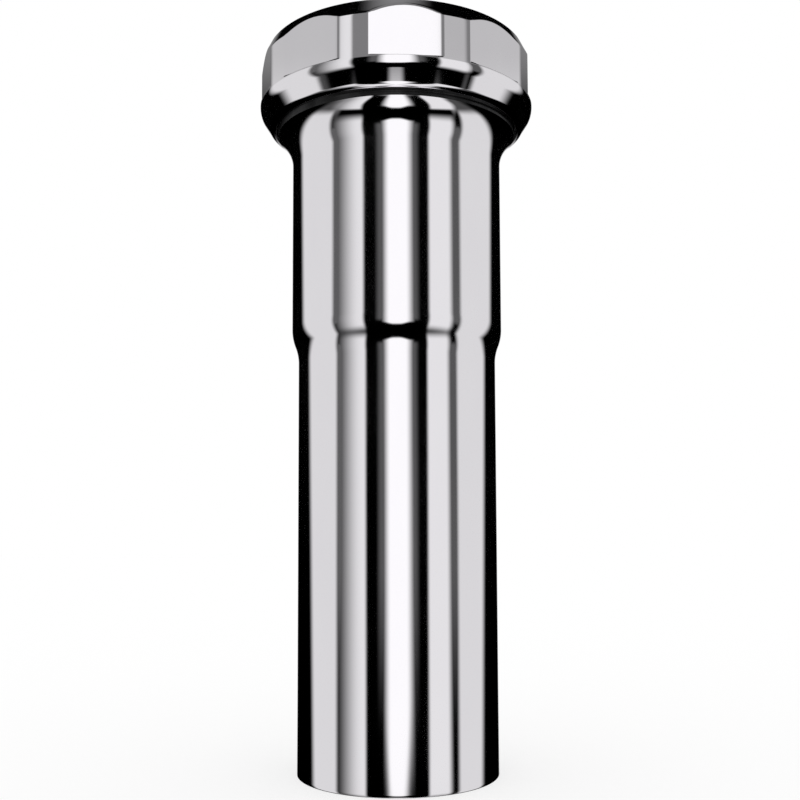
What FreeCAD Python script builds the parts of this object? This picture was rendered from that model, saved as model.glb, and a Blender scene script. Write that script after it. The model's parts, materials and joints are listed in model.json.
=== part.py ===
"""A chrome-plated slip-joint extension tube for a basin waste, with its slip nut and bevelled washer.

The tube stands on its plain end, with the origin at the centre of that end and +Z up through the socket.
Lengths are millimetres and angles are degrees.
"""
import FreeCAD, Part

import math
import os

import Sketcher

# Driving sizes: each one is a cell of the sheet, and everything else follows from these

SIZES = {
    # The formed tube
    "tube_od": 38.1,  # outside diameter of the plain tail
    "wall": 0.81,  # wall of the tube
    "tail_length": 77.6,  # straight part of the plain tail
    "socket_clearance": 0.44,  # room round a pipe of the same size in the socket, on the radius
    "step_radius": 9.0,  # both bends of the step from the tail to the socket
    "bore_taper": 4.4,  # height of the plain taper inside the step
    "socket_depth": 31.16,  # straight part of the socket
    "flare_reach": 2.8,  # how far the flare carries the wall out to the threaded collar, on the radius
    "flare_radius": 10.4,  # hollow bend of the flare, which meets the collar at a corner
    "thread_length": 7.5,  # straight part of the collar, at the mean radius of its thread
    "tube_edge": 0.2,  # bevel round the outside of the two cut ends
    # The bevelled washer
    "washer_bore_clearance": 0.25,  # room round the pipe, on the radius
    "washer_rim_clearance": 0.35,  # room to the nut's bore, on the radius
    "washer_land": 4.6,  # straight part of the outer face
    "washer_toe": 0.7,  # width of the flat toe below the bevel
    "washer_seat_gap": 0.2,  # height of the bevel above the rim of the collar
    # The slip nut
    "nut_clearance": 0.1,  # room between the two threads, on the radius
    "nut_wall": 3.45,  # from the bore to the round lands between the flats
    "nut_height": 15.55,
    "nut_flange": 3.5,  # thickness of the top that presses on the washer
    "mouth_clearance": 0.55,  # room round the pipe in the top, on the radius
    "lead_in": 0.35,  # bevel at the mouth of the thread
    "lip_width": 0.2,  # flat lower edge
    "shoulder_height": 4.75,  # conical lower part, from the lip to the lands
    "shoulder_bend": 2.5,  # bend from the cone to the lands
    "ledge_height": 4.85,  # where the flats stop, above the lip
    "flat_depth": 0.8,  # how far the flats are cut in from the lands
    "crown_height": 3.0,  # tapered upper part, with its bevel
    "crown_inset": 0.5,  # how far the taper comes in, on the radius
    "nut_edge": 1.1,  # bevel of the top edges
    "flat_count": 9,
    "flat_turn": 4.0,  # turn of the nut about its axis, as it was left on the thread
}

SHEET = "Sizes"
TOLERANCE = 1e-4

# Sketcher's own numbers for the axes, the origin and the ends of a piece of outline

ACROSS_AXIS, UP_AXIS = range(-1, -3, -1)
START, END = range(1, 3)
ORIGIN = (ACROSS_AXIS, START)


class Size:
    """A length kept both as a number, to draw with, and as the sheet expression that drives it."""

    def __init__(self, number, text):
        self.number = number
        self.text = text

    def __add__(self, other):
        return Size(self.number + other.number, f"({self.text} + {other.text})")

    def __sub__(self, other):
        return Size(self.number - other.number, f"({self.text} - {other.text})")

    def half(self):
        return Size(self.number / 2, f"({self.text} / 2)")


NOTHING = Size(0, "0")


def size(name):
    """The driving size of that name."""
    return Size(SIZES[name], f"{SHEET}.{name}")


def bend_rise(radius, reach):
    """The height over which a bend carries an upright wall sideways by reach.

    Two tangent bends, out and upright again, rise as one bend of both radii added together.
    """
    number = math.sqrt(2 * radius.number * reach.number - reach.number**2)
    return Size(number, f"sqrt(2 * {radius.text} * {reach.text} - {reach.text} ^ 2)")


def bend_turn(radius, reach):
    """How far such a bend turns, in degrees."""
    return math.degrees(math.acos(1 - reach.number / radius.number))


# Radii and heights that several pieces share

TAIL_RADIUS = size("tube_od").half()
SOCKET_RADIUS = TAIL_RADIUS + size("socket_clearance")
BELL_RADIUS = SOCKET_RADIUS + size("wall")
COLLAR_RADIUS = BELL_RADIUS + size("flare_reach")
CUP_RADIUS = COLLAR_RADIUS - size("wall")
BORE_RADIUS = TAIL_RADIUS - size("wall")
STEP_REACH = size("socket_clearance") + size("wall")
STEP_RADII = size("step_radius") + size("step_radius")

STEP_TOP = size("tail_length") + bend_rise(STEP_RADII, STEP_REACH)
STEP_MIDDLE = (size("tail_length") + STEP_TOP).half()
FLARE_FOOT = STEP_TOP + size("socket_depth")
COLLAR_FOOT = FLARE_FOOT + bend_rise(size("flare_radius"), size("flare_reach"))
RIM_HEIGHT = COLLAR_FOOT + size("thread_length")

NUT_BORE_RADIUS = COLLAR_RADIUS + size("nut_clearance")
LAND_RADIUS = NUT_BORE_RADIUS + size("nut_wall")
MOUTH_RADIUS = TAIL_RADIUS + size("mouth_clearance")

WASHER_RADIUS = NUT_BORE_RADIUS - size("washer_rim_clearance")
WASHER_BORE_RADIUS = TAIL_RADIUS + size("washer_bore_clearance")
WASHER_TOE_RADIUS = WASHER_BORE_RADIUS + size("washer_toe")
# The bevel is at 45 degrees, so it is as high as it is wide
WASHER_BEVEL = WASHER_RADIUS - WASHER_TOE_RADIUS
WASHER_HEIGHT = WASHER_BEVEL + size("washer_land")
WASHER_FOOT = RIM_HEIGHT + size("washer_seat_gap") + WASHER_RADIUS - CUP_RADIUS - WASHER_BEVEL

NUT_FOOT = WASHER_FOOT + WASHER_HEIGHT + size("nut_flange") - size("nut_height")


def make_sheet(doc):
    """The sheet of driving sizes, one named cell each."""
    sheet = doc.addObject("Spreadsheet::Sheet", SHEET)
    for row, (name, number) in enumerate(SIZES.items(), start=1):
        sheet.set(f"A{row}", name)
        sheet.set(f"B{row}", str(number))
        sheet.setAlias(f"B{row}", name)
    doc.recompute()
    return sheet


def origin_feature(body, role):
    """One of the body's own origin planes or axes."""
    return next(feature for feature in body.Origin.OriginFeatures if feature.Role == role)


def new_sketch(body, name, role):
    """An empty sketch on one of the body's origin planes."""
    sketch = body.newObject("Sketcher::SketchObject", name)
    sketch.AttachmentSupport = [(origin_feature(body, role), "")]
    sketch.MapMode = "FlatFace"
    return sketch


def point(across, up):
    return FreeCAD.Vector(across, up, 0)


class Outline:
    """A closed chain of lines and arcs in a sketch, held by the sheet."""

    def __init__(self, sketch, across, up):
        self.sketch = sketch
        self.pen = point(across, up)
        self.pieces = []

    def line(self, across, up):
        """A straight piece from the pen to a point."""
        target = point(across, up)
        index = self.sketch.addGeometry(Part.LineSegment(self.pen, target))
        self.pieces.append((index, START, END))
        self.pen = target
        return index

    def bend(self, radius, first_angle, last_angle):
        """An arc from the pen, through angles about its centre that may rise or fall."""
        first = math.radians(first_angle)
        last = math.radians(last_angle)
        centre = self.pen - point(radius * math.cos(first), radius * math.sin(first))
        circle = Part.Circle(centre, FreeCAD.Vector(0, 0, 1), radius)
        index = self.sketch.addGeometry(Part.ArcOfCircle(circle, min(first, last), max(first, last)))
        ends = (START, END) if first < last else (END, START)
        self.pieces.append((index, *ends))
        self.pen = centre + point(radius * math.cos(last), radius * math.sin(last))
        return index

    def hold(self, index, end, across=None, up=None):
        """Ties one end of a piece to sheet expressions for its place across and up."""
        for kind, place in (("DistanceX", across), ("DistanceY", up)):
            if place is not None:
                self.drive(Sketcher.Constraint(kind, *ORIGIN, index, end, place.number), place)

    def drive(self, constraint, value):
        """Adds a constraint whose value comes from a sheet expression."""
        number = self.sketch.addConstraint(constraint)
        self.sketch.setExpression(f"Constraints[{number}]", value.text)

    def on_axis(self, index, end, axis):
        self.sketch.addConstraint(Sketcher.Constraint("PointOnObject", index, end, axis))

    def upright(self, index):
        self.sketch.addConstraint(Sketcher.Constraint("Vertical", index))

    def level(self, index):
        self.sketch.addConstraint(Sketcher.Constraint("Horizontal", index))

    def join(self, smooth=()):
        """Joins each piece to the next, smoothly after the pieces named in smooth, and closes the chain."""
        following = self.pieces[1:] + self.pieces[:1]
        for (index, _, end), (other, start, _) in zip(self.pieces, following):
            kind = "Tangent" if index in smooth else "Coincident"
            self.sketch.addConstraint(Sketcher.Constraint(kind, index, end, other, start))


def close_along_axis(outline, foot_line, top_line, axis_line):
    """Keeps the ends of a round outline level and its last side on the axis."""
    outline.level(foot_line)
    outline.level(top_line)
    outline.on_axis(axis_line, START, UP_AXIS)
    outline.on_axis(axis_line, END, UP_AXIS)


def draw_tube_outside(sketch):
    """The outer face of the tube: tail, a step of two bends, bell, flare and collar."""
    step = size("step_radius")
    step_turn = bend_turn(STEP_RADII, STEP_REACH)
    flare_turn = bend_turn(size("flare_radius"), size("flare_reach"))

    outline = Outline(sketch, 0, 0)
    foot_line = outline.line(TAIL_RADIUS.number, 0)
    tail_line = outline.line(TAIL_RADIUS.number, SIZES["tail_length"])
    step_foot = outline.bend(step.number, 180, 180 - step_turn)
    step_head = outline.bend(step.number, -step_turn, 0)
    bell_line = outline.line(BELL_RADIUS.number, FLARE_FOOT.number)
    flare = outline.bend(SIZES["flare_radius"], 180, 180 - flare_turn)
    collar_line = outline.line(COLLAR_RADIUS.number, RIM_HEIGHT.number)
    rim_line = outline.line(0, RIM_HEIGHT.number)
    axis_line = outline.line(0, 0)

    outline.join(smooth={tail_line, step_foot, step_head, bell_line})
    close_along_axis(outline, foot_line, rim_line, axis_line)
    outline.on_axis(foot_line, END, ACROSS_AXIS)
    outline.upright(tail_line)
    outline.hold(tail_line, END, across=TAIL_RADIUS, up=size("tail_length"))
    outline.upright(bell_line)
    outline.hold(bell_line, END, across=BELL_RADIUS, up=FLARE_FOOT)
    outline.upright(collar_line)
    outline.hold(collar_line, END, across=COLLAR_RADIUS, up=RIM_HEIGHT)
    for arc, radius in ((step_foot, step), (step_head, step), (flare, size("flare_radius"))):
        outline.drive(Sketcher.Constraint("Radius", arc, radius.number), radius)


def draw_tube_bore(sketch):
    """The inner face of the tube, run past both ends: bore, socket and cup, with plain tapers between them.

    The tapers are out of sight. Straight ones keep the wall nearly even and the solid's mesh light.
    """
    overrun = size("wall")
    top = RIM_HEIGHT + overrun
    taper_foot = STEP_MIDDLE - size("bore_taper").half()
    taper_top = STEP_MIDDLE + size("bore_taper").half()
    # A bend comes out by about a quarter of its reach in the first half of its rise
    flare_rise = bend_rise(size("flare_radius") + size("wall"), size("flare_reach"))
    half_flare = FLARE_FOOT + flare_rise.half()
    half_radius = SOCKET_RADIUS + size("flare_reach").half().half()
    cup_foot = FLARE_FOOT + flare_rise

    outline = Outline(sketch, 0, -overrun.number)
    foot_line = outline.line(BORE_RADIUS.number, -overrun.number)
    bore_line = outline.line(BORE_RADIUS.number, taper_foot.number)
    taper = outline.line(SOCKET_RADIUS.number, taper_top.number)
    socket_line = outline.line(SOCKET_RADIUS.number, FLARE_FOOT.number)
    low_flare = outline.line(half_radius.number, half_flare.number)
    high_flare = outline.line(CUP_RADIUS.number, cup_foot.number)
    cup_line = outline.line(CUP_RADIUS.number, top.number)
    top_line = outline.line(0, top.number)
    axis_line = outline.line(0, -overrun.number)

    outline.join()
    close_along_axis(outline, foot_line, top_line, axis_line)
    outline.drive(Sketcher.Constraint("DistanceY", foot_line, END, *ORIGIN, overrun.number), overrun)
    outline.upright(bore_line)
    outline.hold(bore_line, END, across=BORE_RADIUS, up=taper_foot)
    outline.hold(taper, END, across=SOCKET_RADIUS, up=taper_top)
    outline.upright(socket_line)
    outline.hold(socket_line, END, up=FLARE_FOOT)
    outline.hold(low_flare, END, across=half_radius, up=half_flare)
    outline.hold(high_flare, END, across=CUP_RADIUS, up=cup_foot)
    outline.upright(cup_line)
    outline.hold(cup_line, END, up=top)


def draw_corners(sketch, corners):
    """A closed outline of straight sides through corners that the sheet holds."""
    places = [(across.number, up.number) for across, up in corners]
    outline = Outline(sketch, *places[-1])
    sides = [outline.line(*place) for place in places]
    outline.join()
    for side, (across, up) in zip(sides, corners):
        if up.number:
            outline.hold(side, END, across=across, up=up)
        else:
            outline.hold(side, END, across=across)
            outline.on_axis(side, END, ACROSS_AXIS)


def spin(body, name, kind, sketch):
    """A full turn of a sketch about the body's upright axis, added or cut away."""
    feature = body.newObject(f"PartDesign::{kind}", name)
    feature.Profile = sketch
    feature.ReferenceAxis = (sketch, ["V_Axis"])
    feature.Angle = 360
    return feature


def break_edges(body, name, base, wanted, width):
    """Bevels the circular edges of a feature that have one of the wanted radii and heights."""
    base.Document.recompute()
    names = []
    for number, edge in enumerate(base.Shape.Edges, start=1):
        if not isinstance(edge.Curve, Part.Circle):
            continue
        here = (edge.Curve.Radius, edge.Curve.Center.z)
        if any(math.dist(here, place) < TOLERANCE for place in wanted):
            names.append(f"Edge{number}")
    if len(names) != len(wanted):
        raise RuntimeError(f"{name} found {len(names)} of {len(wanted)} edges")
    feature = body.newObject("PartDesign::Chamfer", name)
    feature.Base = (base, names)
    feature.setExpression("Size", width.text)
    return feature


def make_tube(doc):
    """The drawn tube: a plain tail, a step out to the socket, and a flare out to the threaded collar."""
    body = doc.addObject("PartDesign::Body", "extension_tube")
    outside = new_sketch(body, "tube_outside", "XZ_Plane")
    draw_tube_outside(outside)
    blank = spin(body, "tube_blank", "Revolution", outside)
    inside = new_sketch(body, "tube_inside", "XZ_Plane")
    draw_tube_bore(inside)
    bore = spin(body, "tube_bore", "Groove", inside)
    bore.Document.recompute()
    if bore.Shape.Volume >= blank.Shape.Volume:
        raise RuntimeError("the bore of the tube cut nothing")
    ends = [(TAIL_RADIUS.number, 0), (COLLAR_RADIUS.number, RIM_HEIGHT.number)]
    body.Tip = break_edges(body, "tube_ends", bore, ends, size("tube_edge"))
    return body


def make_washer(doc):
    """The sealing washer: flat above, with a bevel that centres it in the mouth of the collar."""
    body = doc.addObject("PartDesign::Body", "slip_washer")
    section = new_sketch(body, "washer_section", "XZ_Plane")
    draw_corners(
        section,
        [
            (WASHER_BORE_RADIUS, NOTHING),
            (WASHER_TOE_RADIUS, NOTHING),
            (WASHER_RADIUS, WASHER_BEVEL),
            (WASHER_RADIUS, WASHER_HEIGHT),
            (WASHER_BORE_RADIUS, WASHER_HEIGHT),
        ],
    )
    spin(body, "washer_ring", "Revolution", section)
    body.setExpression(".Placement.Base.z", WASHER_FOOT.text)
    return body


def draw_nut_section(sketch):
    """Half the nut's section: lip, conical shoulder, land, tapered crown, flanged top and bore."""
    lead = NUT_BORE_RADIUS + size("lead_in")
    lip = lead + size("lip_width")
    rim = LAND_RADIUS - size("crown_inset")
    top = size("nut_height")
    edge = size("nut_edge")
    crown = top - size("crown_height")
    roof = top - size("nut_flange")
    # The cone runs from the lip and touches the bend, whose centre lies this far from the lip
    shoulder_bend = SIZES["shoulder_bend"]
    centre = ((LAND_RADIUS - lip).number - shoulder_bend, SIZES["shoulder_height"])
    tilt = math.atan2(*centre) + math.asin(shoulder_bend / math.hypot(*centre))

    outline = Outline(sketch, lead.number, 0)
    lip_line = outline.line(lip.number, 0)
    cone = outline.line(
        lip.number + centre[0] + shoulder_bend * math.cos(tilt), centre[1] - shoulder_bend * math.sin(tilt)
    )
    shoulder = outline.bend(shoulder_bend, -math.degrees(tilt), 0)
    land = outline.line(LAND_RADIUS.number, crown.number)
    corners = [
        (rim, top - edge),
        (rim - edge, top),
        (MOUTH_RADIUS + edge, top),
        (MOUTH_RADIUS, top - edge),
        (MOUTH_RADIUS, roof),
        (NUT_BORE_RADIUS, roof),
        (NUT_BORE_RADIUS, size("lead_in")),
    ]
    sides = [outline.line(across.number, up.number) for across, up in corners]
    outline.line(lead.number, 0)

    outline.join(smooth={cone, shoulder})
    outline.on_axis(lip_line, START, ACROSS_AXIS)
    outline.level(lip_line)
    outline.hold(lip_line, START, across=lead)
    outline.hold(lip_line, END, across=lip)
    outline.hold(shoulder, END, up=size("shoulder_height"))
    outline.drive(Sketcher.Constraint("Radius", shoulder, shoulder_bend), size("shoulder_bend"))
    outline.upright(land)
    outline.hold(land, END, across=LAND_RADIUS, up=crown)
    for side, (across, up) in zip(sides, corners):
        outline.hold(side, END, across=across, up=up)


def make_nut(doc):
    """The slip nut: a turned blank with flats cut round its upper part, down to a ledge."""
    body = doc.addObject("PartDesign::Body", "slip_nut")
    section = new_sketch(body, "nut_section", "XZ_Plane")
    draw_nut_section(section)
    blank = spin(body, "nut_blank", "Revolution", section)

    # One flat, drawn on the ledge as the slice of the blank that lies outside it
    slice_sketch = new_sketch(body, "flat_slice", "XY_Plane")
    slice_sketch.setExpression(".AttachmentOffset.Base.z", f"{SHEET}.ledge_height")
    inner = LAND_RADIUS - size("flat_depth")
    outer = LAND_RADIUS + size("flat_depth")
    outline = Outline(slice_sketch, -LAND_RADIUS.number, -outer.number)
    near = outline.line(LAND_RADIUS.number, -outer.number)
    right = outline.line(LAND_RADIUS.number, -inner.number)
    far = outline.line(-LAND_RADIUS.number, -inner.number)
    left = outline.line(-LAND_RADIUS.number, -outer.number)
    outline.join()
    outline.level(near)
    outline.level(far)
    outline.upright(right)
    outline.upright(left)
    for line, end, reach in ((near, END, outer), (right, END, inner)):
        outline.drive(Sketcher.Constraint("DistanceY", line, end, *ORIGIN, reach.number), reach)
    outline.hold(right, END, across=LAND_RADIUS)
    outline.drive(Sketcher.Constraint("DistanceX", left, START, *ORIGIN, LAND_RADIUS.number), LAND_RADIUS)

    flat = body.newObject("PartDesign::Pocket", "one_flat")
    flat.Profile = slice_sketch
    flat.Reversed = True
    flat.setExpression("Length", f"{SHEET}.nut_height")
    doc.recompute()
    if flat.Shape.Volume >= blank.Shape.Volume:
        raise RuntimeError("the flat cut nothing from the nut")

    flats = body.newObject("PartDesign::PolarPattern", "all_flats")
    flats.Originals = [flat]
    flats.Axis = (origin_feature(body, "Z_Axis"), [""])
    flats.Angle = 360
    flats.setExpression("Occurrences", f"{SHEET}.flat_count")
    body.Tip = flats

    body.setExpression(".Placement.Base.z", NUT_FOOT.text)
    body.setExpression(".Placement.Rotation.Angle", f"{SHEET}.flat_turn")
    return body


def check(doc, bodies):
    """Stops if anything in the document failed or a piece isn't one sound solid."""
    for item in doc.Objects:
        if "Invalid" in item.State or "Error" in item.State:
            raise RuntimeError(f"{item.Label} failed: {item.State}")
    for body in bodies:
        shape = body.Shape
        if shape.isNull() or not shape.isValid() or len(shape.Solids) != 1:
            raise RuntimeError(f"{body.Label} isn't one sound solid")


def main():
    doc = FreeCAD.newDocument("extension_tube")
    make_sheet(doc)
    bodies = [make_tube(doc), make_washer(doc), make_nut(doc)]
    doc.recompute()
    check(doc, bodies)
    os.makedirs("parts", exist_ok=True)
    for body in bodies:
        body.Shape.exportStep(f"parts/{body.Label}.step")
        print(f"{body.Label}: {body.Shape.Volume:.0f} mm3, {len(body.Shape.Faces)} faces")


main()
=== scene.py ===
# %% [markdown]
# # A chrome extension tube for a basin waste
# The object is a drawn brass tube, plated with chrome, that takes the tail of a basin waste in its wide
# upper end. A faceted slip nut on the threaded collar squeezes a rubber washer round the pipe. The
# solids are already packed at their real size, so this lesson only gives each of them a finer skin and
# its finish.

# %% Load the imported solids
import json
import math

import bpy
import numpy as np
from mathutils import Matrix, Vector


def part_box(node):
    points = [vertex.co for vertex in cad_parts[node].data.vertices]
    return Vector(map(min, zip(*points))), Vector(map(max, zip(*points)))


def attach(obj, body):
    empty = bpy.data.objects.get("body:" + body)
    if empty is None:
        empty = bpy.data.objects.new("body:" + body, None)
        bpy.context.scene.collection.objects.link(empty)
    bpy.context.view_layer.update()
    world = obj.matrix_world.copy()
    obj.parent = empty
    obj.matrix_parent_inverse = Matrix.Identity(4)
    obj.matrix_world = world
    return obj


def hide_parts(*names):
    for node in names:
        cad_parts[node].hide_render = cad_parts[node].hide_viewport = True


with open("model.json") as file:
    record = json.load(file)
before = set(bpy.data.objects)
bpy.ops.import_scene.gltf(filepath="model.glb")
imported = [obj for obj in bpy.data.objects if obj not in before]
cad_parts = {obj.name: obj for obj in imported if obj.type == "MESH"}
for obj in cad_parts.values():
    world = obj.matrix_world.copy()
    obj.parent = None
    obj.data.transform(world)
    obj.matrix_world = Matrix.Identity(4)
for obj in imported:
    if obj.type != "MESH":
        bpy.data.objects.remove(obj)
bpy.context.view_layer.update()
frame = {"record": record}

# %% [markdown]
# ## Sizes that the frame gives
# A skin has to lie where its solid lies. We could copy the numbers, but then a change of the part would
# leave the skin behind. The record's mounts give the radius and the reach of the plain tail and of the
# socket, and the boxes of the solids give the outer radius of the collar and the ends of the nut and
# the washer. Blender works in metres, so sizes that a maker would give in millimetres are multiplied by
# MM.

# %% Read the sizes
MM = 0.001

mounts = {mount["name"]: mount for mount in frame["record"]["mounts"]}


def mount_reach(name):
    """The radius and the highest point of an upright round mount: its middle plus half its length."""
    mount = mounts[name]
    return mount["dims"]["r_mm"] * MM, mount["pos_m"][2] + mount["dims"]["length_mm"] * MM / 2


tail_radius, tail_top = mount_reach("plain_end")
socket_radius, flare_foot = mount_reach("socket")
collar_radius = max(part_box("extension_tube")[1].xy)
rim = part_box("extension_tube")[1].z
nut_foot, nut_top = (corner.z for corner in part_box("slip_nut"))
washer_foot, washer_top = (corner.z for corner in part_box("slip_washer"))
wall = 0.81 * MM
bell_radius = socket_radius + wall
print(f"tail {tail_radius:.5f} to {tail_top:.5f}, bell {bell_radius:.5f}")
print(f"collar {collar_radius:.5f} to {rim:.5f}, nut {nut_foot:.5f} to {nut_top:.5f}")

# %% [markdown]
# ## Sections made of straights and bends
# Every piece is formed about one axis, so it starts as a section: a closed chain of points, each a
# radius and a height. A Screw modifier could spin a drawn outline, but plain arrays let us add a
# thread and flats by formula afterwards. Small helpers make the straights and the bends. Each one
# stops a step short of its end, because the next piece of the chain starts there.

# %% Helpers for sections


def straight(start, end, steps):
    """Points from start towards end, closer together near both ends: the share is (1 - cos(pi t)) / 2."""
    share = (1 - np.cos(np.pi * np.arange(steps) / steps)) / 2
    return np.array(start) + np.outer(share, np.subtract(end, start))


def bend(centre, radius, first, last, steps):
    """Points on an arc: centre plus radius times (cos, sin) of an angle from first towards last."""
    angle = np.radians(first + (last - first) * np.arange(steps) / steps)
    return np.array(centre) + radius * np.stack([np.cos(angle), np.sin(angle)], axis=1)


def offset_bends(start, reach, hollow, rounded, steps):
    """Two tangent arcs that carry an upright wall outwards by reach and upright again.

    The turn t of each arc follows from reach = (hollow + rounded) (1 - cos t), and the height is
    (hollow + rounded) sin t.
    """
    radii = hollow + rounded
    turn = math.degrees(math.acos(1 - reach / radii))
    height = radii * math.sin(math.radians(turn))
    lower = bend((start[0] + hollow, start[1]), hollow, 180, 180 - turn, steps)
    upper = bend((start[0] + reach - rounded, start[1] + height), rounded, -turn, 0, steps)
    return np.concatenate([lower, upper]), (start[0] + reach, start[1] + height)


def chain(*pieces):
    """Joins pieces of a section, each given as its finish and its points, with the finish of every point."""
    section = np.concatenate([points for _, points in pieces])
    return section, np.concatenate([np.full(len(points), finish) for finish, points in pieces])


def ease(value, low, high):
    """0 below low, 1 above high, and the smooth step 3 s^2 - 2 s^3 of the share s in between."""
    share = np.clip((value - low) / (high - low), 0, 1)
    return share * share * (3 - 2 * share)


# %% [markdown]
# ## From a section to a skin
# A skin is a grid with one row for each point of the section and one column for each angle about the
# axis. Rows and columns both wrap round, so the skin is closed like a ring doughnut, with no seam and
# no pole. The whole grid goes into the mesh at once. The weighted normals let the broad faces keep
# their true direction, which matters on chrome, where a small tilt shows as a bent reflection.

# %% A helper for skins


def skin(name, radius, height, angles, finish):
    """One closed mesh: row i and column j give (r cos a, r sin a, z), from r[i, j], z[i, j] and a[j].

    Each quad joins two neighbouring columns of two neighbouring rows, and finish[i] numbers the material of
    the quads above row i.
    """
    radius, height = np.broadcast_arrays(radius, height)
    points = np.stack([radius * np.cos(angles), radius * np.sin(angles), height], axis=-1)
    rows, columns = radius.shape
    corner = np.arange(rows * columns).reshape(rows, columns)
    beside = np.roll(corner, -1, axis=1)
    quads = np.stack([corner, beside, np.roll(beside, -1, axis=0), np.roll(corner, -1, axis=0)], axis=-1)
    mesh = bpy.data.meshes.new(name)
    mesh.vertices.add(corner.size)
    mesh.vertices.foreach_set("co", points.ravel())
    mesh.loops.add(quads.size)
    mesh.loops.foreach_set("vertex_index", quads.ravel())
    mesh.polygons.add(corner.size)
    mesh.polygons.foreach_set("loop_start", np.arange(0, quads.size, 4))
    mesh.polygons.foreach_set("material_index", np.repeat(finish, columns))
    mesh.update(calc_edges=True)
    mesh.shade_smooth()
    piece = bpy.data.objects.new(name, mesh)
    bpy.context.scene.collection.objects.link(piece)
    piece.modifiers.new("broad faces lead", "WEIGHTED_NORMAL")
    print(f"{name}: {rows} rows, {columns} columns, {2 * corner.size} triangles")
    return piece


# %% [markdown]
# ## The thread
# A slip-joint thread of this size has eleven and a half turns to the inch. On a thin tube it is rolled,
# so its crests and roots are round, and a sine is a good section for it. A right-hand thread climbs as
# the angle grows, so its phase is the height in pitches less the angle in turns. The nut carries the
# same wave, a hair further out, and it stays in step because the nut rises one pitch for each turn.

# %% The thread as a formula
INCH = 25.4 * MM
turns_per_inch = 11.5
thread_pitch = INCH / turns_per_inch
thread_depth = 0.42 * MM
thread_runout = 1.3 * MM
thread_stop = 0.5 * MM
thread_start = 0.3 * MM


def thread_wave(angles, height, low, high):
    """A sine of the phase 2 pi z / pitch - angle, which grows slowly above low and ends just below high."""
    fade = ease(height, low, low + thread_runout) * (1 - ease(height, high - thread_stop, high))
    return thread_depth * fade * np.sin(2 * np.pi * height / thread_pitch - angles)


print(f"thread: pitch {thread_pitch / MM:.3f} mm, depth {thread_depth / MM:.2f} mm either way")

# %% [markdown]
# ## The tube
# The tube was drawn, stepped out to a socket, flared, and given a rolled collar, all from one wall of
# even thickness. So we write the path of the wall once, and use it twice: as the outer face, and set in
# by the thickness as the inner face. A hollow bend grows by the inset and a round bend shrinks by it,
# so the two faces stay parallel. Only the sharp turn from the flare to the collar has a small inner
# bend of its own.

# %% The wall of the tube
step_bend = 9.0 * MM
flare_bend = 8.0 * MM
flare_start = 0.85 * MM
neck_bend = 0.15 * MM
inner_neck_bend = 0.05 * MM
tube_edge = 0.2 * MM


def tube_wall(inset):
    """The path of one face of the wall, from the foot up to the rim, and the height where the collar starts.

    Straights run up at the radii of tail, bell and collar, each less the inset, and two pairs of tangent
    bends, the step and the flare, carry the wall from one out to the next.
    """
    foot = (tail_radius - inset, tube_edge)
    tail_end = (foot[0], tail_top)
    step_reach = bell_radius - tail_radius
    step, step_end = offset_bends(tail_end, step_reach, step_bend + inset, step_bend - inset, 14)
    bell_end = (step_end[0], flare_foot + flare_start)
    flare_reach = collar_radius - bell_radius
    neck = max(neck_bend - inset, inner_neck_bend)
    flare, flare_end = offset_bends(bell_end, flare_reach, flare_bend + inset, neck, 20)
    collar_end = (flare_end[0], rim - tube_edge)
    tail = straight(foot, tail_end, 24)
    bell = straight(step_end, bell_end, 16)
    collar = straight(flare_end, collar_end, 44)
    return np.concatenate([tail, step, bell, flare, collar, [collar_end]]), flare_end[1]


outer_face, collar_foot = tube_wall(0)
inner_face, _ = tube_wall(wall)
print(f"wall of the tube: {len(outer_face)} points, collar from {collar_foot:.5f}")

# %% [markdown]
# The skin goes once round the wall: up the plated outside, over the rim and down the bare inside. Small
# round edges close the cut ends, because a plated edge always shows a fine glint. A narrow ring in the
# groove under the thread gets a near-black finish, which is painted shade: it stands for the shadow in
# the gap under the lip of the nut. The wave of the thread is added to both faces, as a rolled thread
# shows on both sides of a thin wall.

# %% The skin of the tube
CHROME_SIDE, BARE_SIDE, GROOVE_SHADE_SIDE = range(3)
tube_columns = 224
# painted shade: a near-black ring on the collar, from the neck up to this far above the foot of the nut,
# under its lip
groove_shade_reach = 0.6 * MM

groove_shade_heights = (collar_foot - neck_bend, nut_foot + groove_shade_reach)
shade_first, shade_last = np.searchsorted(outer_face[:, 1], groove_shade_heights)
edge_height = rim - tube_edge
cup_radius = inner_face[-1, 0]
bore_radius = inner_face[0, 0]
tube_section, tube_finish = chain(
    (CHROME_SIDE, bend((tail_radius - tube_edge, tube_edge), tube_edge, -90, 0, 5)),
    (CHROME_SIDE, outer_face[:shade_first]),
    # painted shade under the lip of the nut
    (GROOVE_SHADE_SIDE, outer_face[shade_first:shade_last]),
    (CHROME_SIDE, outer_face[shade_last:-1]),
    (CHROME_SIDE, bend((collar_radius - tube_edge, edge_height), tube_edge, 0, 90, 5)),
    (BARE_SIDE, bend((cup_radius + tube_edge, edge_height), tube_edge, 90, 180, 5)),
    (BARE_SIDE, inner_face[:0:-1]),
    (BARE_SIDE, bend((bore_radius + tube_edge, tube_edge), tube_edge, 180, 270, 5)),
)
tube_angles = 2 * np.pi * np.arange(tube_columns) / tube_columns
tube_height = tube_section[:, 1:]
thread_foot = collar_foot + thread_start
tube_radius = tube_section[:, :1] + thread_wave(tube_angles, tube_height, thread_foot, edge_height)
tube = skin("chrome_tube", tube_radius, tube_height, tube_angles, tube_finish)

# %% [markdown]
# ## The washer
# The washer is moulded rubber: flat on top, with a bevel below that centres it in the mouth of the
# collar. Only a thin ring of it shows in the mouth of the nut. Moulded rubber has no sharp edges, so
# every corner of its section gets a small bend. Between two straight sides, the centre of such a bend
# is where the two sides meet after both have moved in by its radius.

# %% A helper for rounded sections


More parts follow.
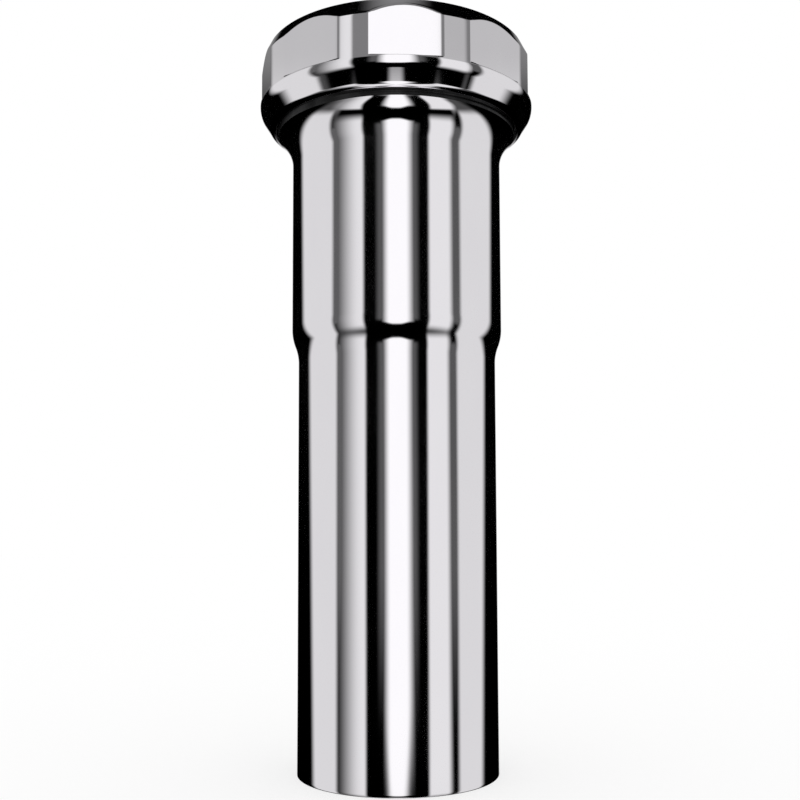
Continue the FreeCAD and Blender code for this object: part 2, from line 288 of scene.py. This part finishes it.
def rounded_section(corners, radius, steps):
    """A closed chain through the corners, anticlockwise and convex, with each corner rounded.

    At a corner with unit directions u before and v after, the bend runs from the normal of u to the
    normal of v, where a normal is its direction turned a quarter clockwise. Its centre is the corner
    less radius (nu + nv) / (1 + nu . nv).
    """
    corners = np.array(corners)
    ahead = np.roll(corners, -1, axis=0) - corners
    ahead /= np.linalg.norm(ahead, axis=1, keepdims=True)
    after = np.stack([ahead[:, 1], -ahead[:, 0]], axis=1)
    before = np.roll(after, 1, axis=0)
    spread = 1 + np.sum(before * after, axis=1, keepdims=True)
    centres = corners - radius * (before + after) / spread
    first = np.arctan2(before[:, 1], before[:, 0])
    turn = np.arctan2(after[:, 1], after[:, 0]) - first
    turn = np.mod(turn, 2 * np.pi)
    angle = first[:, None] + turn[:, None] * np.linspace(0, 1, steps)
    arcs = centres[:, None, :] + radius * np.stack([np.cos(angle), np.sin(angle)], axis=-1)
    return arcs.reshape(-1, 2)


# %% [markdown]
# The section has five corners: a narrow toe at the bore, the bevel that rises outwards from it at
# forty-five degrees, the upright outer side and the flat top.

# %% The skin of the washer
washer_radius = max(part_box("slip_washer")[1].xy)
washer_clearance = 0.25 * MM
toe_width = 0.7 * MM
washer_round = 0.3 * MM
washer_columns = 160

washer_bore = tail_radius + washer_clearance
washer_toe = washer_bore + toe_width
washer_section = rounded_section(
    [
        (washer_bore, washer_foot),
        (washer_toe, washer_foot),
        (washer_radius, washer_foot + washer_radius - washer_toe),
        (washer_radius, washer_top),
        (washer_bore, washer_top),
    ],
    washer_round,
    7,
)
washer_angles = 2 * np.pi * np.arange(washer_columns) / washer_columns
washer = skin(
    "rubber_washer",
    np.repeat(washer_section[:, :1], washer_columns, axis=1),
    washer_section[:, 1:],
    washer_angles,
    np.zeros(len(washer_section), int),
)

# %% [markdown]
# ## The slip nut
# The nut is a casting, but we form it as a turner would. First come a round lip, a conical shoulder
# that bends into a straight land, and a tapered crown. Then nine flats are cut round the upper part,
# down to a ledge. A boolean could cut them, but by formula the grid stays clean. The turned radius is
# a function of the height, and a flat is a plane at a fixed distance from the axis, so along an angle
# a from its middle its radius is that distance over cos a. The smaller of the two is the cut nut. A
# soft minimum rounds the edge between them, as polishing and plating do.

# %% The turned form and the flats of the nut
nut_clearance = 0.1 * MM
lead_in = 0.35 * MM
mouth_clearance = 0.55 * MM
ledge_height = 4.85 * MM
crown_height = 3.0 * MM
crown_inset = 1.5 * MM
flat_depth = 0.8 * MM
flat_count = 9
flat_turn = 4.0  # degrees by which the front flat is turned from the camera
edge_softness = 0.04 * MM

land_radius = max(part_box("slip_nut")[1].xy)
nut_bore = collar_radius + nut_clearance
lip_radius = nut_bore + lead_in
mouth_radius = tail_radius + mouth_clearance
ledge = nut_foot + ledge_height
crown_foot = nut_top - crown_height
crown_radius = land_radius - crown_inset
roof = washer_top
flat_distance = land_radius - flat_depth
flat_step = 2 * np.pi / flat_count
first_flat = math.radians(-90 + flat_turn)


def soft_min(first, second):
    """The smaller of two lengths less k log(1 + exp(-|difference| / k)): a corner rounded by about k."""
    gap = np.abs(first - second) / edge_softness
    return np.minimum(first, second) - edge_softness * np.log1p(np.exp(-gap))


def upper_radius(height):
    """The outer radius above the shoulder, before the flats: the land, and the taper of the crown."""
    taper = land_radius - (land_radius - crown_radius) * (height - crown_foot) / (nut_top - crown_foot)
    return soft_min(land_radius, taper)


def flat_radius(angles):
    """Distance over cos of the angle from the middle of the nearest flat."""
    from_middle = np.mod(angles - first_flat + flat_step / 2, flat_step) - flat_step / 2
    return flat_distance / np.cos(from_middle)


print(f"nut: land {land_radius:.5f}, flats {flat_distance:.5f}, top of the crown {crown_radius:.5f}")

# %% [markdown]
# The rows of the nut follow its section. Below the land, the bend of the lip runs into the cone and the
# cone into the bend of the shoulder without a corner, because on chrome a corner breaks the
# reflections. The rows are closest where the form turns: at the lip, the ledge, the foot of the crown
# and the top edges.

# %% The rows of the nut
nut_edge = 0.5 * MM
mouth_edge = 1.2 * MM
lip_bend = 1.5 * MM
cone_tilt = 33.0
shoulder_bend = 3.5 * MM
ledge_reach = 0.14 * MM
crown_reach = 0.4 * MM

taper_tilt = math.degrees(math.atan2(land_radius - crown_radius, nut_top - crown_foot))
edge_shift = nut_edge * (1 - math.sin(math.radians(taper_tilt))) / math.cos(math.radians(taper_tilt))
edge_centre = (crown_radius - edge_shift, nut_top - nut_edge)
edge_start = edge_centre[1] + nut_edge * math.sin(math.radians(taper_tilt))

cone_across, cone_up = math.cos(math.radians(cone_tilt)), math.sin(math.radians(cone_tilt))
cone_foot = (lip_radius + lip_bend * cone_across, nut_foot + lip_bend * (1 - cone_up))
cone_reach = land_radius - shoulder_bend * (1 - cone_across) - cone_foot[0]
cone_top = (cone_foot[0] + cone_reach, cone_foot[1] + cone_reach * cone_across / cone_up)
shoulder_top = cone_top[1] + shoulder_bend * cone_up

outer_height = np.concatenate([
    np.linspace(shoulder_top, ledge + 3 * ledge_reach, 18, endpoint=False),
    np.linspace(ledge + 3 * ledge_reach, crown_foot - crown_reach, 8, endpoint=False),
    np.linspace(crown_foot - crown_reach, crown_foot + crown_reach, 10, endpoint=False),
    np.linspace(crown_foot + crown_reach, edge_start, 18, endpoint=False),
])
outer_rows = np.stack([upper_radius(outer_height), outer_height], axis=1)
nut_section, nut_finish = chain(
    (CHROME_SIDE, bend((lip_radius, nut_foot + lip_bend), lip_bend, -90, -cone_tilt, 16)),
    (CHROME_SIDE, straight(cone_foot, cone_top, 10)),
    (CHROME_SIDE, bend((land_radius - shoulder_bend, shoulder_top), shoulder_bend, -cone_tilt, 0, 12)),
    (CHROME_SIDE, outer_rows),
    (CHROME_SIDE, bend(edge_centre, nut_edge, taper_tilt, 90, 8)),
    (CHROME_SIDE, straight((edge_centre[0], nut_top), (mouth_radius + mouth_edge, nut_top), 6)),
    (CHROME_SIDE, bend((mouth_radius + mouth_edge, nut_top - mouth_edge), mouth_edge, 90, 180, 8)),
    (CHROME_SIDE, straight((mouth_radius, nut_top - mouth_edge), (mouth_radius, roof), 6)),
    # the inside of the nut takes the zinc toned near black, as painted shade
    (BARE_SIDE, straight((mouth_radius, roof), (nut_bore, roof), 6)),
    (BARE_SIDE, straight((nut_bore, roof), (nut_bore, nut_foot), 52)),
)
print("rows of the nut:", len(nut_section))

# %% [markdown]
# The columns are closest at the edges of the flats, which keeps the edges crisp without a dense grid
# all over. One flat, with half a land on each side of it, is laid out first and then repeated round the
# axis.

# %% The columns of the nut
edge_angle = math.acos(flat_distance / land_radius)
edge_band = math.radians(1.0)
column_stops = [-flat_step / 2, -edge_angle - edge_band, -edge_angle + edge_band]
column_stops += [edge_angle - edge_band, edge_angle + edge_band, flat_step / 2]
column_counts = [5, 11, 28, 11, 5]
one_flat = np.concatenate([
    np.linspace(low, high, count, endpoint=False)
    for low, high, count in zip(column_stops, column_stops[1:], column_counts)
])
nut_angles = (first_flat + flat_step * np.arange(flat_count)[:, None] + one_flat).ravel()
print("columns of the nut:", len(nut_angles))

# %% [markdown]
# Above the ledge the turned radius gives way to the flats. Inside, the bore gets the wave of the
# thread, and a short cone at the lip leads the nut onto the collar.

# %% The skin of the nut
thread_over_rim = 0.6 * MM

nut_height = nut_section[:, 1:]
turned = nut_section[:, :1]
cut = turned - soft_min(turned, flat_radius(nut_angles))
nut_radius = turned - cut * ease(nut_height, ledge - ledge_reach, ledge + ledge_reach)
thread_top = rim + thread_over_rim
thread_low = nut_foot - thread_runout
threads = nut_bore + thread_wave(nut_angles, nut_height, thread_low, thread_top)
lead = nut_bore + lead_in - (nut_height - nut_foot)
nut_radius = np.where(turned == nut_bore, np.maximum(threads, lead), nut_radius)
nut = skin("chrome_slip_nut", nut_radius, nut_height, nut_angles, nut_finish)

# %% [markdown]
# ## Nodes for the finishes
# Each finish is a small tree of shader nodes. Writing out every node and link by hand hides the idea,
# so a few helpers do it. They make a node and feed its sockets, do arithmetic, pass smoothly from one
# value or colour to another, and give a noise in the piece's own coordinates, which stay with the
# piece when it moves.

# %% Helpers for nodes


def make_node(tree, kind, settings=None, **feeds):
    """A node with some settings changed, and each named input set to a value or linked to a socket."""
    node = tree.nodes.new(kind)
    for name, value in (settings or {}).items():
        setattr(node, name, value)
    for name, value in feeds.items():
        feed(tree, node.inputs[name.replace("_", " ")], value)
    return node


def feed(tree, socket, value):
    """Links a socket to an input, or sets its value."""
    if isinstance(value, bpy.types.NodeSocket):
        tree.links.new(value, socket)
    else:
        socket.default_value = value


def calculate(tree, operation, *values):
    """The result of one step of arithmetic."""
    node = tree.nodes.new("ShaderNodeMath")
    node.operation = operation
    for socket, value in zip(node.inputs, values):
        feed(tree, socket, value)
    return node.outputs[0]


def between(tree, value, low, high, first=0.0, last=1.0):
    """A smooth step from first, where the value is low, to last, where it is high."""
    settings = {"interpolation_type": "SMOOTHSTEP"}
    node = make_node(tree, "ShaderNodeMapRange", settings, Value=value)
    for socket, number in zip(node.inputs[1:5], (low, high, first, last)):
        socket.default_value = number
    return node.outputs[0]


def two_tones(tree, share, first, last):
    """A colour that passes from first to last by the share: first (1 - share) + last share."""
    mix = make_node(tree, "ShaderNodeMix", {"data_type": "RGBA"}, Factor=share)
    # the sockets for colours come after those for numbers and vectors
    feed(tree, mix.inputs[6], (*first, 1))
    feed(tree, mix.inputs[7], (*last, 1))
    return mix.outputs[2]


def grain(tree, stretch, detail):
    """Noise whose grains per metre along X, Y and Z are given by stretch."""
    place = tree.nodes.new("ShaderNodeTexCoord")
    mapping = make_node(tree, "ShaderNodeMapping", Vector=place.outputs["Object"], Scale=stretch)
    noise = make_node(tree, "ShaderNodeTexNoise", Vector=mapping.outputs[0], Scale=1.0, Detail=detail)
    return noise.outputs["Fac"]


def new_finish(name):
    """An empty material with its shader, ready to be fed."""
    material = bpy.data.materials.new(name)
    material.use_nodes = True
    return material, material.node_tree, material.node_tree.nodes["Principled BSDF"]


# %% [markdown]
# ## Bright chrome
# Chrome plate is a mirror with a faint cool tint. A perfect mirror looks drawn, not made: the real
# plate keeps traces of the buffing wheel, fine lines that run round the tube, and a slow waviness of
# the metal below. Both go into the bump, at heights from well under a thousandth of a millimetre up to
# a hundredth on the cast nut, and the roughness drifts between bright and slightly hazy patches.

# %% Chrome


def chrome(name, waviness):
    """Mirror plate: buffing lines and a slow waviness of the given height as bump, hazier in patches."""
    material, tree, shader = new_finish(name)
    haze = grain(tree, (160, 160, 60), 3.0)
    tone = two_tones(tree, haze, (0.875, 0.855, 0.890), (0.905, 0.890, 0.915))
    feed(tree, shader.inputs["Base Color"], tone)
    feed(tree, shader.inputs["Roughness"], between(tree, haze, 0.3, 0.8, 0.035, 0.075))
    shader.inputs["Metallic"].default_value = 1.0
    buffing = grain(tree, (70, 70, 5200), 2.0)
    lines = make_node(tree, "ShaderNodeBump", Height=buffing, Strength=1.0, Distance=0.0001 * MM)
    metal = grain(tree, (120, 120, 45), 1.0)
    waves = make_node(tree, "ShaderNodeBump", Height=metal, Strength=1.0, Distance=waviness)
    feed(tree, waves.inputs["Normal"], lines.outputs[0])
    feed(tree, shader.inputs["Normal"], waves.outputs[0])
    return material


tube_chrome = chrome("tube_chrome", 0.004 * MM)
nut_chrome = chrome("nut_chrome", 0.010 * MM)
print("chrome finishes:", tube_chrome.name, nut_chrome.name)

# %% [markdown]
# ## Bare metal and painted shade
# The plating bath hardly reaches the inside. The bore of the tube stays bare brass: warm, duller than
# the plate, darker in blotches where it has tarnished, with long lines from the drawing die. The nut is
# a zinc casting. Its inside and its thread are toned nearly black, and so is the plate in the groove
# under the thread of the tube: this is painted shade, for the shadow inside the nut and in the gap
# under its lip, so that the gap looks like a black line.

# %% Brass, and zinc and plate toned as painted shade


def bare_metal(name, pale, dark):
    """Dull metal: two tones in blotches, and drawing lines that run up the bore."""
    material, tree, shader = new_finish(name)
    blotch = grain(tree, (220, 220, 90), 5.0)
    tone = two_tones(tree, between(tree, blotch, 0.35, 0.7), pale, dark)
    feed(tree, shader.inputs["Base Color"], tone)
    feed(tree, shader.inputs["Roughness"], between(tree, blotch, 0.3, 0.75, 0.28, 0.5))
    shader.inputs["Metallic"].default_value = 1.0
    drawing = grain(tree, (2600, 2600, 30), 3.0)
    lines = make_node(tree, "ShaderNodeBump", Height=drawing, Strength=0.6, Distance=0.01 * MM)
    feed(tree, shader.inputs["Normal"], lines.outputs[0])
    return material


bare_brass = bare_metal("bare_brass", (0.66, 0.47, 0.22), (0.40, 0.27, 0.12))
# painted shade: the zinc inside the nut is toned near black for the shadow there
zinc_painted_shade = bare_metal("zinc_painted_shade", (0.06, 0.06, 0.065), (0.03, 0.03, 0.032))
# painted shade: the plate in the groove under the lip of the nut is toned near black
groove_painted_shade = bare_metal("groove_painted_shade", (0.040, 0.040, 0.041), (0.020, 0.020, 0.021))
print("bare metals:", bare_brass.name, zinc_painted_shade.name, groove_painted_shade.name)

# %% [markdown]
# ## Black rubber
# The washer is matt black rubber with a bloom: a slightly paler, drier film in patches, and the fine
# grain of the mould.

# %% Rubber


def rubber(name):
    """Matt black with paler patches of bloom and a fine moulded grain."""
    material, tree, shader = new_finish(name)
    bloom = grain(tree, (300, 300, 300), 4.0)
    tone = two_tones(tree, between(tree, bloom, 0.4, 0.75), (0.020, 0.020, 0.021), (0.048, 0.048, 0.050))
    feed(tree, shader.inputs["Base Color"], tone)
    feed(tree, shader.inputs["Roughness"], between(tree, bloom, 0.3, 0.8, 0.5, 0.75))
    mould = grain(tree, (4500, 4500, 4500), 2.0)
    lines = make_node(tree, "ShaderNodeBump", Height=mould, Strength=0.5, Distance=0.03 * MM)
    feed(tree, shader.inputs["Normal"], lines.outputs[0])
    return material


washer_rubber = rubber("washer_rubber")
print("rubber:", washer_rubber.name)

# %% [markdown]
# ## Put each skin on its body
# A skin hides the solid that it stands for and moves with that solid's body. The tube stays, the washer
# rises, and the nut turns as it rises.

# %% Finishes and bodies


def dress(piece, node, body, finishes):
    """Gives a skin its finishes, hangs it on its body and hides the solid that it stands for."""
    for finish in finishes:
        piece.data.materials.append(finish)
    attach(piece, body)
    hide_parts(node)
    print(f"{piece.name} stands for {node} on {body}")


dress(tube, "extension_tube", "tube", [tube_chrome, bare_brass, groove_painted_shade])
dress(washer, "slip_washer", "washer", [washer_rubber])
dress(nut, "slip_nut", "nut", [nut_chrome, zinc_painted_shade])

# %% [markdown]
# ## The studio in the mirror
# Chrome has almost no colour of its own: what we see on it is the room. A product photographer stands
# bright panels round the tube and leaves dark gaps, or hangs black flags, between them, and the tube
# shows them as upright stripes. We could build real panels, but they would have to be hidden from the
# camera, and they would slide along the tube. A world that depends on the direction only is simpler and
# has no noise. So we first turn the direction into an azimuth, counted from the camera's side and
# positive to the right, and an elevation.

# %% Directions in the studio
scene = bpy.context.scene
world = bpy.data.worlds.new("studio")
scene.world = world
world.use_nodes = True
tree = world.node_tree
tree.nodes.clear()

direction = make_node(tree, "ShaderNodeSeparateXYZ")
feed(tree, direction.inputs[0], tree.nodes.new("ShaderNodeTexCoord").outputs["Generated"])
towards_camera = calculate(tree, "MULTIPLY", direction.outputs["Y"], -1.0)
azimuth = calculate(tree, "DEGREES", calculate(tree, "ARCTAN2", direction.outputs["X"], towards_camera))
elevation = calculate(tree, "DEGREES", calculate(tree, "ARCSINE", direction.outputs["Z"]))
to_side = calculate(tree, "ABSOLUTE", azimuth)


def fade_in(value, edge, softness, brightness=1.0):
    """Rises smoothly from nothing to the brightness across an edge."""
    return between(tree, value, edge - softness, edge + softness, 0, brightness)


def fade_out(value, edge, softness):
    """Falls smoothly from 1 to nothing across an edge."""
    return between(tree, value, edge - softness, edge + softness, 1, 0)


print("nodes for the direction:", len(tree.nodes))

# %% [markdown]
# Each panel is an interval of azimuth with soft edges. In front are the window beside the camera and
# one panel on each side of it. The dim strips next to them are the frame of the window and the wall
# beyond the panels. The side panels and the back panel show near the outline of the tube. Low down they
# grow dim or end, so that the flare and the lip of the nut stay dark at their sides.

# %% The panels as nodes
FRONT_PANELS = [
    # from, to, softness of each edge (degrees), brightness
    (-56.0, -35.5, 17.0, 2.5, 0.84),  # left, fading outwards
    (-12.0, 15.0, 5.0, 5.5, 1.10),  # window beside the camera
    (35.0, 61.0, 2.5, 4.5, 0.86),  # right
]
DIM_STRIPS = [
    (-76.0, -50.0, 3.0, 6.0, 0.12),  # beside the left panel
    (-20.5, -10.5, 3.5, 3.0, 0.10),  # frame of the window
    (15.5, 22.5, 3.0, 3.5, 0.10),  # its other side
    (58.0, 76.0, 4.0, 3.0, 0.10),  # beside the right panel
]
DIM_FOOT = (-7.0, 5.0)  # where the dim strips end downwards, softness
SIDE_PANELS = (72.0, 3.5, 0.77)  # on both sides from this azimuth, softness, brightness
SIDE_FOOT = (-44.0, -30.0, 0.1)  # they grow dim between these elevations, down to this share
FAR_EDGE = (116.0, 5.5, 0.5)  # where the side panels end, softness, degrees further back per degree up
BACK_PANEL = (166.0, 4.0, 1.0)  # from this azimuth round the back, softness, brightness
BACK_FOOT = (-13.0, 5.0)  # where the back panel ends downwards, softness
PANEL_FEET = (-55.0, -20.0, 0.83, 1.0)  # the front panels spread between these elevations, by these shares

to_far_edge = calculate(tree, "MULTIPLY_ADD", elevation, -FAR_EDGE[2], to_side)
sides = calculate(tree, "MULTIPLY", fade_in(to_side, *SIDE_PANELS), fade_out(to_far_edge, *FAR_EDGE[:2]))
sides = calculate(tree, "MULTIPLY", sides, between(tree, elevation, *SIDE_FOOT, 1.0))
back = calculate(tree, "MULTIPLY", fade_in(to_side, *BACK_PANEL), fade_in(elevation, *BACK_FOOT))
panels = calculate(tree, "ADD", sides, back)

spread = between(tree, elevation, *PANEL_FEET)
across = calculate(tree, "MULTIPLY", azimuth, spread)


def add_strips(strips, lit):
    """Adds upright strips to what is lit: each rises across its first edge and falls across its last."""
    for low, high, low_soft, high_soft, brightness in strips:
        rise = fade_in(across, low, low_soft, brightness)
        lit = calculate(tree, "MULTIPLY_ADD", rise, fade_out(across, high, high_soft), lit)
    return lit


panels = add_strips(FRONT_PANELS, panels)
dim_strips = calculate(tree, "MULTIPLY", add_strips(DIM_STRIPS, 0.0), fade_in(elevation, *DIM_FOOT))
panels = calculate(tree, "MAXIMUM", panels, dim_strips)
print("front panels and strips:", len(FRONT_PANELS) + len(DIM_STRIPS))

# %% [markdown]
# Below the front panels there is a dark gap, which draws the dark band across the step, under the flare
# and on the shoulder of the nut. It is crisp and a little taller beside the window. Below the outer
# panels its top fades softly, so the band is only grey there.

# %% The dark gap as nodes
GAP = (-43.0, -17.0, 3.0)  # dark gap below the front panels: lowest, highest, softness
GAP_SWELL = (3.0, 16.0, 5.0)  # it is taller beside the window: between these azimuths, by this much
GAP_TAPER = (24.0, 34.0, 6.5)  # and lower again further out
GAP_SOFT = (-23.0, 10.0)  # its top out there, where it fades softly, softness
GAP_SIDES = (68.0, 6.0)  # where the gap ends, to each side, softness

swell = between(tree, to_side, *GAP_SWELL[:2], 0, GAP_SWELL[2])
outer = between(tree, to_side, *GAP_TAPER[:2])
swell = calculate(tree, "MULTIPLY_ADD", outer, -GAP_TAPER[2], swell)
over_foot = calculate(tree, "ADD", elevation, swell)
over_top = calculate(tree, "SUBTRACT", elevation, swell)
crisp_top = fade_out(over_top, GAP[1], GAP[2])
softer = calculate(tree, "SUBTRACT", fade_out(elevation, *GAP_SOFT), crisp_top)
gap_top = calculate(tree, "MULTIPLY_ADD", outer, softer, crisp_top)
gap = calculate(tree, "MULTIPLY", fade_in(over_foot, GAP[0], GAP[2]), gap_top)
gap = calculate(tree, "MULTIPLY", gap, fade_out(to_side, *GAP_SIDES))
lit = calculate(tree, "MULTIPLY", panels, calculate(tree, "SUBTRACT", 1.0, gap))
print("nodes with panels and gap:", len(tree.nodes))

# %% [markdown]
# Above eye level the flags give way to a grey wall, the panels at the right and at the sides grow dim,
# and a grey panel hangs over the window. Far down is the white ground, which ends behind the object.
# Overhead a soft light keeps the top of the nut from going black.

# %% The wall, the ground and the ceiling as nodes
PANEL_TOPS = (34.0, 3.0)  # where the panels end upwards, softness
OVER_WINDOW = (24.0, 6.0, 0.2)  # grey panel over the window: half its width, softness, brightness
WALL = (22.5, 2.0, 0.22)  # grey wall above this, softness, brightness
RIGHT_DIM = (27.0, 5.0, 0.42)  # from this azimuth, softness, how much dimmer the panel is beside the wall
SIDE_DIM = (64.0, 3.0, 0.27)  # the same for the panels on both sides
GROUND = (-73.0, 3.0, 0.9)  # white ground below this, softness, brightness
GROUND_BACK = (-0.25, 0.18)  # where it ends behind the object, as a share of the direction, softness
CEILING = (77.0, 5.0, 0.25)  # soft light above this, softness, brightness

above = fade_in(elevation, *WALL[:2])
right_dim = calculate(tree, "MULTIPLY", fade_in(azimuth, *RIGHT_DIM), fade_out(azimuth, *SIDE_DIM[:2]))
dim = calculate(tree, "MULTIPLY", calculate(tree, "ADD", right_dim, fade_in(to_side, *SIDE_DIM)), above)
lit = calculate(tree, "MULTIPLY", lit, calculate(tree, "SUBTRACT", 1.0, dim))
lit = calculate(tree, "MAXIMUM", lit, calculate(tree, "MULTIPLY", above, WALL[2]))
lit = calculate(tree, "MULTIPLY", lit, fade_out(elevation, *PANEL_TOPS))
over = fade_in(elevation, *PANEL_TOPS, OVER_WINDOW[2])
over = calculate(tree, "MULTIPLY", over, fade_out(to_side, *OVER_WINDOW[:2]))
lit = calculate(tree, "MAXIMUM", lit, over)
below = calculate(tree, "MULTIPLY", elevation, -1.0)
ground = fade_in(below, -GROUND[0], *GROUND[1:])
ground = calculate(tree, "MULTIPLY", ground, fade_in(towards_camera, *GROUND_BACK))
lit = calculate(tree, "MAXIMUM", lit, ground)
lit = calculate(tree, "MAXIMUM", lit, fade_in(elevation, *CEILING))
print("studio nodes:", len(tree.nodes))

# %% [markdown]
# The camera sees plain white behind the object, mirrors see the studio, and everything else is lit by
# an even soft light. Light Path tells the three kinds of ray apart.

# %% The world's three faces
SOFT_LIGHT = 0.9

path = tree.nodes.new("ShaderNodeLightPath")
mirror_rays = (path.outputs["Is Glossy Ray"], path.outputs["Is Transmission Ray"])
mirrored = calculate(tree, "MAXIMUM", *mirror_rays)
soft = make_node(tree, "ShaderNodeBackground", Color=(1, 1, 1, 1), Strength=SOFT_LIGHT)
white = make_node(tree, "ShaderNodeBackground", Color=(1, 1, 1, 1), Strength=1.0)
studio = make_node(tree, "ShaderNodeBackground", Color=(1, 1, 1, 1), Strength=lit)
with_mirrors = make_node(tree, "ShaderNodeMixShader", Fac=mirrored)
tree.links.new(soft.outputs[0], with_mirrors.inputs[1])
tree.links.new(studio.outputs[0], with_mirrors.inputs[2])
with_camera = make_node(tree, "ShaderNodeMixShader", Fac=path.outputs["Is Camera Ray"])
tree.links.new(with_mirrors.outputs[0], with_camera.inputs[1])
tree.links.new(white.outputs[0], with_camera.inputs[2])
make_node(tree, "ShaderNodeOutputWorld", Surface=with_camera.outputs[0])
print("world nodes:", len(tree.nodes))

# %% [markdown]
# ## The floor
# The tube stands on a plain white floor. The floor takes part of its brightness from the soft light, so
# that the tube's soft shadow shows, and the rest is added for the camera alone, so that the lit floor
# is as white as the background. Mirrors don't see the floor, because the studio has its own ground.

# %% Floor
floor_half = 1.2
floor_shade = 0.42

floor_mesh = bpy.data.meshes.new("floor")
floor_corners = floor_half * np.array([(-1, -1, 0), (1, -1, 0), (1, 1, 0), (-1, 1, 0)])
floor_mesh.from_pydata(floor_corners.tolist(), [], [(0, 1, 2, 3)])
floor = bpy.data.objects.new("floor", floor_mesh)
scene.collection.objects.link(floor)
floor.visible_glossy = False

floor_material, floor_tree, shader = new_finish("pale_floor")
path = floor_tree.nodes.new("ShaderNodeLightPath")
shader.inputs["Base Color"].default_value = (floor_shade, floor_shade, floor_shade, 1)
shader.inputs["Roughness"].default_value = 1.0
shader.inputs["Specular IOR Level"].default_value = 0.0
shader.inputs["Emission Color"].default_value = (1, 1, 1, 1)
glow = calculate(floor_tree, "MULTIPLY", path.outputs["Is Camera Ray"], 1 - floor_shade * SOFT_LIGHT)
feed(floor_tree, shader.inputs["Emission Strength"], glow)
floor_mesh.materials.append(floor_material)
print("floor:", 2 * floor_half, "m across")

# %% [markdown]
# ## The camera
# The camera stands close to the tube, about a third of the way up, and looks slightly upwards, so the
# nut is seen from below and the foot from above. A small upward shift of the picture keeps the tube's
# sides nearly parallel, as a view camera does.

# %% Camera
camera_distance = 204.1 * MM
camera_height = 47.54 * MM
camera_aside = 0.5 * MM
camera_pitch = 4.336
camera_roll = 0.19

lens = bpy.data.cameras.new("camera")
lens.sensor_width = 36.0
lens.lens = 47.59
lens.shift_y = 0.05
lens.clip_start = 0.01
camera = bpy.data.objects.new("camera", lens)
camera.location = (camera_aside, -camera_distance, camera_height)
camera.rotation_euler = (math.radians(90 + camera_pitch), math.radians(camera_roll), 0)
scene.collection.objects.link(camera)
scene.camera = camera
scene.view_settings.view_transform = "Standard"
print("camera:", tuple(camera.location), "lens", lens.lens)
